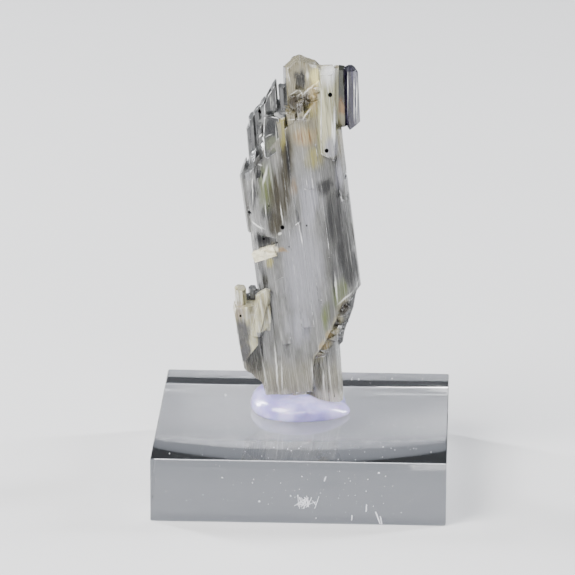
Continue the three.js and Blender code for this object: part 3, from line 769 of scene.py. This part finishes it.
def acrylic_finish():
    recipe = Recipe("clear polished acrylic")
    haze = recipe.noise(recipe.place, 0.35, 3, 0.5)
    grit = recipe.noise(recipe.place, 9, 2, 0.5)
    scratches = recipe.noise(
        recipe.mapped(recipe.place, rotation=(0, 0, 0.5), scale=(1, 0.03, 1)), 4, 2, 0.5
    )
    rough = recipe.math(
        "ADD",
        recipe.ramp(haze, 0.45, 0.7, 0.015, 0.05),
        recipe.ramp(grit, 0.68, 0.78, 0.0, 0.3),
    )
    return recipe.finish(
        Base_Color=linear(250, 251, 254),
        Roughness=rough,
        Transmission_Weight=1.0,
        Normal=recipe.bump(scratches, 0.002, 0.25),
        IOR=ACRYLIC_IOR,
    )


def dust_finish():
    recipe = Recipe("pale dust and lint")
    grain = recipe.noise(recipe.place, 3, 2)
    colour = recipe.mix(grain, linear(236, 236, 240), linear(206, 206, 214))
    return recipe.finish(Base_Color=colour, Roughness=0.8)


def floor_finish():
    recipe = Recipe("pale matt floor")
    grain = recipe.noise(recipe.place, 0.05, 2)
    colour = recipe.mix(grain, linear(214, 214, 214), linear(211, 211, 212))
    return recipe.finish(Base_Color=colour, Roughness=0.7)


# Crystals

# Where each kind of crystal is: slot number, and the box of its faces in millimetres.
TRUNK, CLEAR, BLADE, SLAB, FLAKE, CRUST, BREAK, EDGE, SMOOTH = range(9)
REGIONS = [
    (BLADE, (-5.85, 1.45, 17.62), (-4.05, 3.2, 19.4)),
    (CLEAR, (3.66, -1, 34.4), (7, 5, 43)),
    (FLAKE, (3.15, 0.9, 34.9), (3.9, 3.4, 43)),
    (SLAB, (1.2, -1, 32.8), (3.15, 1.9, 43)),
    (CRUST, (-7.2, -1.5, 15.0), (-3.3, 0.1, 20.2)),
    (CRUST, (-7.2, -1.5, 11.4), (-4.5, 0.1, 15.0)),
    (CRUST, (-7.2, -1.5, 13.8), (-4.5, 2.1, 20.2)),
    (BLADE, (-7, 0.5, 30.0), (-3.9, 3.8, 41)),
    (BLADE, (-4.2, 0.5, 32.4), (-1.85, 3.8, 41)),
    (BLADE, (3.0, 1.8, 12.5), (5.6, 3.3, 19.6)),
]
# Planes that part the regions of the sheaf: the axis that they cross, and where.
BORDERS = [
    (2, 30.0),
    (2, 32.8),
    (2, 15.0),
    (2, 32.4),
    (2, 34.9),
    (0, -4.5),
    (0, -3.9),
    (0, -3.3),
    (0, -2.3),
    (0, 1.2),
    (0, 3.15),
    (1, 0.1),
    (1, 0.5),
    (1, 1.9),
]
TABLET = {"middle": (-3.85, 0.5, 22.75), "half": (1.25, 0.5, 0.53), "turns": (-0.4, -0.25)}


# The slab's top is broken off above this, right of its left edge.
SLAB_LEFT = 1.2
SLAB_TOP = 40.6


def in_tablet(place):
    turn_y, turn_z = TABLET["turns"]
    local = Matrix.Rotation(-turn_y, 3, "Y") @ (place - Vector(TABLET["middle"]))
    local = Matrix.Rotation(-turn_z, 3, "Z") @ local
    return all(abs(value) <= half for value, half in zip(local, TABLET["half"]))


def kind_of(face):
    """The finish of a face, by where its middle is."""
    middle = face.center / MM
    if in_tablet(middle):
        return SMOOTH
    for kind, low, high in REGIONS:
        if all(a <= value <= b for a, value, b in zip(low, middle, high)):
            return kind
    on_slab_top = middle.x > SLAB_LEFT and middle.z > SLAB_TOP
    return BREAK if on_slab_top and face.normal.dot(AXIS) > 0.5 else TRUNK


# Where the edges are dull, without the painted edge highlight: the stub's top, the fractured places and
# the crust.
DULL_EDGES = [
    ((-0.3, 0.3, 40.8), (2.2, 2.2, 1.6)),
    ((-2.4, 0.8, 37.2), (1.4, 2.6, 1.7)),
    ((-4.3, 1.0, 33.0), (1.2, 3.0, 2.6)),
    ((0.0, 0.5, 37.9), (1.9, 2.6, 1.7)),
    ((3.4, 1.4, 15.6), (1.6, 2.8, 3.0)),
    ((-5.4, 0.0, 18.6), (2.6, 2.0, 1.6)),
    ((-2.4, 0.2, 21.0), (1.4, 1.5, 1.3)),
    ((1.0, 0.2, 30.3), (1.2, 1.5, 1.2)),
    ((-2.3, 0.2, 25.3), (1.0, 1.2, 0.9)),
]


def dull_edges(piece):
    """Gives some of the edges the finish of the faces beside them."""
    for face in piece.data.polygons:
        middle = face.center / MM
        for centre, radii in DULL_EDGES:
            offset = middle - Vector(centre)
            if sum((value / radius) ** 2 for value, radius in zip(offset, radii)) < 1:
                face.material_index = kind_of(face)


def cut_at_borders(piece):
    edit(piece)
    for axis, at in BORDERS:
        bpy.ops.mesh.select_all(action="SELECT")
        place = Vector((0, 0, 0))
        place[axis] = at * MM
        normal = Vector((0, 0, 0))
        normal[axis] = 1
        bpy.ops.mesh.bisect(plane_co=place, plane_no=normal)
    done(piece)


# Relief of the sides and of the broken ends: width of the pattern, depth, and its middle level.
GROWTH_LINES = {"size": 0.5, "depth": 0.06, "middle": 0.62, "stretch": 40}
BROKEN_GRAIN = {"size": 0.45, "depth": 0.13, "middle": 1.0}


def relief(piece, name, group_name, size, depth, middle, stretch=1.0):
    """Pushes the surface in and out by a noise pattern, drawn out along the crystals."""
    bpy.ops.object.empty_add(rotation=(0, -LEAN, 0))
    guide = bpy.context.object
    guide.scale = (MM, MM, MM * stretch)
    texture = bpy.data.textures.new(name, "CLOUDS")
    texture.noise_scale = size
    texture.noise_depth = 3
    bpy.context.view_layer.update()
    modifier = piece.modifiers.new(name, "DISPLACE")
    modifier.texture = texture
    modifier.texture_coords = "OBJECT"
    modifier.texture_coords_object = guide
    modifier.strength = depth * MM
    modifier.mid_level = middle
    modifier.vertex_group = group_name
    apply_modifiers(piece)
    bpy.data.objects.remove(guide)


EDGE_WIDTH = 0.05
SHARP_ANGLE = math.radians(30)


def bevel_edges(piece, finish):
    """A narrow bevel on every sharp edge, in the finish of that number."""
    bevel = piece.modifiers.new("bright edges", "BEVEL")
    bevel.width = EDGE_WIDTH * MM
    bevel.segments = 1
    bevel.limit_method = "ANGLE"
    bevel.angle_limit = SHARP_ANGLE
    bevel.material = finish
    apply_modifiers(piece)


# Left of this and above this, the broken ends are smooth.
CALM_X = -3.4
CALM_Z = 28.0
# Faces that are turned to the crystals' length by less than this are their sides.
SIDE_LIMIT = 0.3


def corners_of(piece, kinds):
    """The numbers of the vertices of the faces of some kinds."""
    return {
        index
        for face in piece.data.polygons
        if face.material_index in kinds
        for index in face.vertices
    }


def vertex_groups(piece):
    """The sides, which carry growth lines, and the broken ends, which are rough."""
    crisp = corners_of(piece, (CLEAR, BLADE, FLAKE, SMOOTH))
    cream = corners_of(piece, (CRUST,))
    free = [vertex for vertex in piece.data.vertices if vertex.index not in crisp]
    sides = [v.index for v in free if abs(v.normal.dot(AXIS)) < SIDE_LIMIT]
    ends = [
        v for v in free if v.index not in cream and abs(v.normal.dot(AXIS)) >= SIDE_LIMIT
    ]
    breaks = [v.index for v in ends if v.co.x > CALM_X * MM or v.co.z < CALM_Z * MM]
    piece.vertex_groups.new(name="sides").add(sides, 1.0, "REPLACE")
    piece.vertex_groups.new(name="breaks").add(breaks, 1.0, "REPLACE")


# Neighbouring faces that are turned by less than this become one.
FLAT_ANGLE = math.radians(1.5)


def build_crystals():
    piece = merged_copy("clinozoisite_crystals", "crystal_sheaf")
    for finish in (
        crystal_finish(),
        clear_finish(
            "clear violet crystal", linear(50, 44, 76), linear(13, 9, 27), 0.26, 0.84
        ),
        clear_finish(
            "smoky clear crystal", linear(92, 93, 92), linear(76, 77, 79), 0.3, 0.3, 0.12
        ),
        pale_finish(),
        flake_finish(),
        cream_finish(),
        break_finish(),
        edge_finish(),
        tablet_finish(),
    ):
        piece.data.materials.append(finish)
    cut_at_borders(piece)
    for face in piece.data.polygons:
        face.material_index = kind_of(face)
    edit(piece)
    bpy.ops.mesh.select_all(action="SELECT")
    bpy.ops.mesh.dissolve_limited(angle_limit=FLAT_ANGLE, delimit={"MATERIAL"})
    done(piece)
    bevel_edges(piece, EDGE)
    dull_edges(piece)
    edit(piece)
    bpy.ops.mesh.quads_convert_to_tris(quad_method="BEAUTY", ngon_method="BEAUTY")
    bpy.ops.mesh.subdivide(number_cuts=2)
    bpy.ops.mesh.quads_convert_to_tris(quad_method="BEAUTY", ngon_method="BEAUTY")
    done(piece)
    vertex_groups(piece)
    relief(piece, "growth lines", "sides", **GROWTH_LINES)
    relief(piece, "broken grain", "breaks", **BROKEN_GRAIN)
    only(piece)
    bpy.ops.object.shade_smooth_by_angle(angle=CREASE_ANGLE)
    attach(piece, "root")
    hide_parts("clinozoisite_crystals")


# Plates on the front of the blades

SHEET_DEPTH = 0.45
SHEET_EDGE = 1
# Each: its outline in x and z, the height and depth of its foot, and how fast it leans back.
SHEETS = [
    {
        "foot": 32.3,
        "front": -0.12,
        "lean": 0.1,
        "outline": [
            (-4.0, 36.5),
            (-3.3, 36.62),
            (-2.62, 36.5),
            (-2.5, 35.5),
            (-2.4, 34.7),
            (-2.5, 33.75),
            (-2.85, 33.05),
            (-3.65, 32.5),
            (-3.92, 32.7),
            (-4.05, 34.4),
        ],
    },
    {
        "foot": 36.4,
        "front": 1.5,
        "lean": 0.0,
        "outline": [
            (-2.98, 39.25),
            (-2.8, 36.5),
            (-4.0, 36.4),
            (-4.05, 37.45),
            (-3.8, 37.95),
            (-3.62, 38.5),
            (-3.35, 38.9),
            (-3.1, 39.4),
        ],
    },
]


def build_sheet(foot, front, lean, outline):
    deselect()
    bpy.ops.mesh.primitive_circle_add(
        vertices=len(outline), radius=MM, fill_type="NGON", location=(0, 0, 0)
    )
    piece = bpy.context.object
    for vertex, (x, z) in zip(piece.data.vertices, outline):
        vertex.co = Vector((x, front + lean * (z - foot), z)) * MM
    edit(piece)
    bpy.ops.mesh.extrude_region_move(
        TRANSFORM_OT_translate={"value": (0, SHEET_DEPTH * MM, 0)}
    )
    bpy.ops.mesh.select_all(action="SELECT")
    bpy.ops.mesh.normals_make_consistent(inside=False)
    return done(piece)


def build_sheets():
    piece = join([build_sheet(**sheet) for sheet in SHEETS], "blade_plates")
    for finish in (sheet_finish(), edge_finish()):
        piece.data.materials.append(finish)
    bevel_edges(piece, SHEET_EDGE)
    only(piece)
    bpy.ops.object.shade_smooth_by_angle(angle=CREASE_ANGLE)
    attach(piece, "root")


# Glue

# The rim of the blob on the block, anticlockwise from the drip at the right: x, y and the rim's height.
GLUE_RIM = [
    (4.5, 0.6, 1.1),
    (4.1, 2.0, 1.3),
    (3.75, 3.9, 1.7),
    (2.2, 5.25, 1.95),
    (-0.4, 5.75, 2.05),
    (-3.1, 5.25, 2.2),
    (-4.75, 4.0, 2.25),
    (-5.2, 2.2, 2.15),
    (-4.95, 0.4, 2.05),
    (-4.0, -1.4, 1.95),
    (-2.6, -2.45, 1.9),
    (-0.45, -2.8, 1.9),
    (1.75, -2.3, 1.8),
    (3.1, -1.55, 1.55),
    (4.05, -0.5, 1.3),
]
GLUE_MIDDLE = (-0.4, 1.9)
# The blob's rings from its foot up: share of its reach, and share of its rim's height.
GLUE_RINGS = [
    (0.97, 0.0),
    (1.0, 0.07),
    (1.018, 0.18),
    (1.022, 0.34),
    (1.005, 0.52),
    (0.965, 0.7),
    (0.905, 0.84),
    (0.83, 0.94),
    (0.74, 1.0),
    (0.6, 1.05),
    (0.42, 1.09),
    (0.2, 1.11),
]
GLUE_SIDES = 72
# The blob's foot clears the block by this much.
GLUE_LIFT = 0.01


def rim_at(turn):
    """The rim in the direction of a share of a full turn, smoothed between its points."""
    count = len(GLUE_RIM)
    at = turn * count
    index = int(at) % count
    t = at - int(at)
    before, a, b, after = (GLUE_RIM[(index + k - 1) % count] for k in range(4))
    return [
        0.5
        * (
            2 * q
            + (r - p) * t
            + (2 * p - 5 * q + 4 * r - s) * t * t
            + (3 * q - p - 3 * r + s) * t**3
        )
        for p, q, r, s in zip(before, a, b, after)
    ]


def build_glue():
    deselect()
    bpy.ops.mesh.primitive_circle_add(
        vertices=GLUE_SIDES, radius=1, fill_type="NGON", location=(0, 0, 0)
    )
    piece = bpy.context.object
    edit(piece)
    for (reach, height), (wider, higher) in zip(GLUE_RINGS, GLUE_RINGS[1:]):
        bpy.ops.mesh.extrude_region_move(
            TRANSFORM_OT_translate={"value": (0, 0, higher - height)}
        )
        share = wider / reach
        bpy.ops.transform.resize(value=(share, share, 1), center_override=(0, 0, 0))
    bpy.ops.mesh.select_all(action="SELECT")
    bpy.ops.mesh.normals_make_consistent(inside=False)
    done(piece, "glue")
    for vertex in piece.data.vertices:
        x, y, z = vertex.co
        turn = (math.atan2(y, x) / (2 * math.pi)) % 1
        rim_x, rim_y, rim_z = rim_at(turn)
        reach = math.hypot(x, y) * GLUE_RINGS[0][0]
        place = Vector(
            (
                GLUE_MIDDLE[0] + (rim_x - GLUE_MIDDLE[0]) * reach,
                GLUE_MIDDLE[1] + (rim_y - GLUE_MIDDLE[1]) * reach,
                BLOCK_HEIGHT + GLUE_LIFT + z * rim_z,
            )
        )
        # A thumb-sized dent low on the front.
        dent = math.exp(-(((place.x - 0.45) / 0.38) ** 2) - ((place.z - 6.8) / 0.4) ** 2)
        if place.y < 0:
            place.y += 0.3 * dent
        # Where it meets the crystals it climbs them in uneven waves.
        wave = math.sin(1.7 * place.x + 0.9) + 0.6 * math.sin(3.1 * place.x - 1.2 * place.y)
        place.z += 0.2 * wave * max(0.0, 1 - reach / 0.8)
        vertex.co = place * MM
    only(piece)
    piece.modifiers.new("rounding", "SUBSURF").levels = 1
    piece.modifiers[0].render_levels = 1
    apply_modifiers(piece)
    bpy.ops.object.shade_smooth()
    piece.data.materials.append(glue_finish())
    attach(piece, "root")
    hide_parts("glue_blob")


# Block

BLOCK_BEVEL = 0.22


def build_block():
    deselect()
    bpy.ops.mesh.primitive_cube_add(size=1, location=(0, 0, BLOCK_HEIGHT / 2 * MM))
    piece = bpy.context.object
    side = BLOCK_SIDE - 2 * DUST_ROOM
    piece.scale = (side * MM, side * MM, BLOCK_HEIGHT * MM)
    settle(piece)
    edit(piece)
    bpy.ops.mesh.bevel(offset=BLOCK_BEVEL * MM, segments=3, profile=0.6, affect="EDGES")
    done(piece, "acrylic_base")
    only(piece)
    bpy.ops.object.shade_smooth_by_angle(angle=math.radians(20))
    piece.data.materials.append(acrylic_finish())
    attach(piece, "root")
    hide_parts("acrylic_block")


def join(pieces, name):
    only(pieces[0])
    for piece in pieces[1:]:
        piece.select_set(True)
    bpy.ops.object.join()
    joined = bpy.context.object
    settle(joined)
    joined.name = name
    joined.data.name = name
    return joined


SPECK_COUNT = 170
# No dust lies this near to the middle of the glue.
GLUE_REACH = 6.2


def build_dust():
    """Specks on the block's top and front, thicker on the right."""
    chance = random.Random(7)
    specks = []
    for number in range(SPECK_COUNT):
        size = chance.uniform(0.025, 0.06) if number % 8 else chance.uniform(0.07, 0.12)
        if number % 3:
            x = chance.triangular(-13.5, 13.8, 9)
            y = chance.uniform(-13.6, 13.0)
            place = (x, y, BLOCK_HEIGHT + size * 0.3)
            if math.hypot(x - GLUE_MIDDLE[0], y - GLUE_MIDDLE[1]) < GLUE_REACH:
                continue
        else:
            x = chance.triangular(-13, 13, 6)
            place = (x, -BLOCK_SIDE / 2 + DUST_ROOM, chance.uniform(0.5, 6.0))
        deselect()
        bpy.ops.mesh.primitive_ico_sphere_add(
            subdivisions=1,
            radius=size * MM,
            location=[value * MM for value in place],
            rotation=(chance.uniform(0, 3), chance.uniform(0, 3), 0),
        )
        speck = bpy.context.object
        speck.scale = (1, chance.uniform(0.5, 1), chance.uniform(0.3, 0.8))
        specks.append(speck)
    piece = join(specks, "dust_specks")
    clamp_to_block(piece)
    piece.data.materials.append(dust_finish())
    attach(piece, "root")


# Larger flecks on the block's front: place along it, height and length.
FLECKS = [(7.7, 0.75, 1.3), (8.0, 0.5, 0.8), (5.2, 0.7, 0.5), (6.6, 1.7, 0.7), (2.6, 4.6, 0.5)]
LINT_PLACE = (0.67, 2.2)
FIBRE_COUNT = 26
FIBRE_RADIUS = 0.014
FLECK_RADIUS = 0.05


def build_lint():
    """A knot of short fibres low on the block's front, and a few flecks beside it."""
    chance = random.Random(11)
    fibres = [
        (LINT_PLACE[0] + chance.gauss(0, 0.35), LINT_PLACE[1] + chance.gauss(0, 0.22), None)
        for _ in range(FIBRE_COUNT)
    ]
    pieces = []
    for x, z, length in fibres + FLECKS:
        thick = FIBRE_RADIUS if length is None else FLECK_RADIUS
        turn = chance.uniform(0, math.pi) if length is None else chance.gauss(0, 0.2)
        deselect()
        bpy.ops.mesh.primitive_cylinder_add(
            vertices=5,
            radius=thick * MM,
            depth=(length or chance.uniform(0.4, 1.3)) * MM,
            location=(x * MM, (-BLOCK_SIDE / 2 + DUST_ROOM) * MM, z * MM),
            rotation=(0, turn, 0),
        )
        pieces.append(bpy.context.object)
    piece = join(pieces, "lint_knot")
    edit(piece)
    bpy.ops.mesh.subdivide(number_cuts=2)
    bpy.ops.transform.vertex_random(offset=0.06 * MM, seed=3)
    done(piece)
    clamp_to_block(piece)
    piece.data.materials.append(dust_finish())
    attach(piece, "root")


def clamp_to_block(piece):
    """Keeps what sticks to the block's sides within the block's outline."""
    half = BLOCK_SIDE / 2 * MM
    for vertex in piece.data.vertices:
        vertex.co.y = max(vertex.co.y, -half)
        vertex.co.x = min(max(vertex.co.x, -half), half)


# Setting


FLOOR_SIDE = 3
# The floor lies this much under the block.
FLOOR_GAP = 0.02


def build_floor():
    deselect()
    bpy.ops.mesh.primitive_plane_add(size=FLOOR_SIDE, location=(0, 0, -FLOOR_GAP * MM))
    floor = bpy.context.object
    floor.name = "floor"
    floor.data.materials.append(floor_finish())


def add_light(name, place, size, power, colour):
    light = bpy.data.lights.new(name, "AREA")
    light.shape = "RECTANGLE"
    light.size, light.size_y = size
    light.energy = power
    light.color = colour
    lamp = bpy.data.objects.new(name, light)
    lamp.location = place
    lamp.rotation_euler = (Vector(LIGHT_AIM) - Vector(place)).to_track_quat("-Z", "Y").to_euler()
    bpy.context.collection.objects.link(lamp)


# Each: name, place, width and height, power and tint.
LIGHTS = [
    ("key softbox", (-0.3, -0.28, 0.42), (0.3, 0.3), 7.5, (1, 0.985, 0.96)),
    ("right strip", (0.36, 0.12, 0.16), (0.06, 0.3), 3.2, (0.95, 0.97, 1)),
    ("left strip", (-0.34, 0.2, 0.18), (0.06, 0.3), 3.2, (0.96, 0.97, 1)),
    ("front strip", (0.0, -0.46, 0.3), (0.5, 0.06), 1.8, (1, 1, 1)),
]
LIGHT_AIM = (0, 0, 0.02)


def build_lights():
    for light in LIGHTS:
        add_light(*light)
    world = bpy.data.worlds.new("dim room")
    world.use_nodes = True
    world.node_tree.nodes["Background"].inputs["Color"].default_value = (0.8, 0.84, 0.92, 1)
    world.node_tree.nodes["Background"].inputs["Strength"].default_value = 0.4
    bpy.context.scene.world = world


SENSOR_WIDTH = 36
# The lens's focal length, in widths of the picture.
LENS_REACH = 5183 / 575


def build_camera():
    """The photograph's view: a long lens from in front, a little above."""
    elevation = math.radians(16.726)
    yaw = math.radians(-2.126)
    roll = math.radians(0.297)
    distance = 507.2 * MM
    target = Vector((-1.636, 0, 19.447)) * MM
    forward = Vector(
        (
            math.sin(yaw) * math.cos(elevation),
            math.cos(yaw) * math.cos(elevation),
            -math.sin(elevation),
        )
    )
    right = Vector((math.cos(yaw), -math.sin(yaw), 0))
    up = right.cross(forward)
    turned_right = right * math.cos(roll) + up * math.sin(roll)
    turned_up = up * math.cos(roll) - right * math.sin(roll)
    place = target - forward * distance
    lens = bpy.data.cameras.new("long lens")
    lens.sensor_width = SENSOR_WIDTH
    lens.lens = SENSOR_WIDTH * LENS_REACH
    lens.clip_start = 0.02
    camera = bpy.data.objects.new("camera", lens)
    matrix = Matrix((turned_right, turned_up, -forward)).transposed().to_4x4()
    matrix.translation = place
    camera.matrix_world = matrix
    bpy.context.collection.objects.link(camera)
    bpy.context.scene.camera = camera


build_block()
build_glue()
build_crystals()
build_sheets()
build_dust()
build_lint()
build_floor()
build_lights()
build_camera()
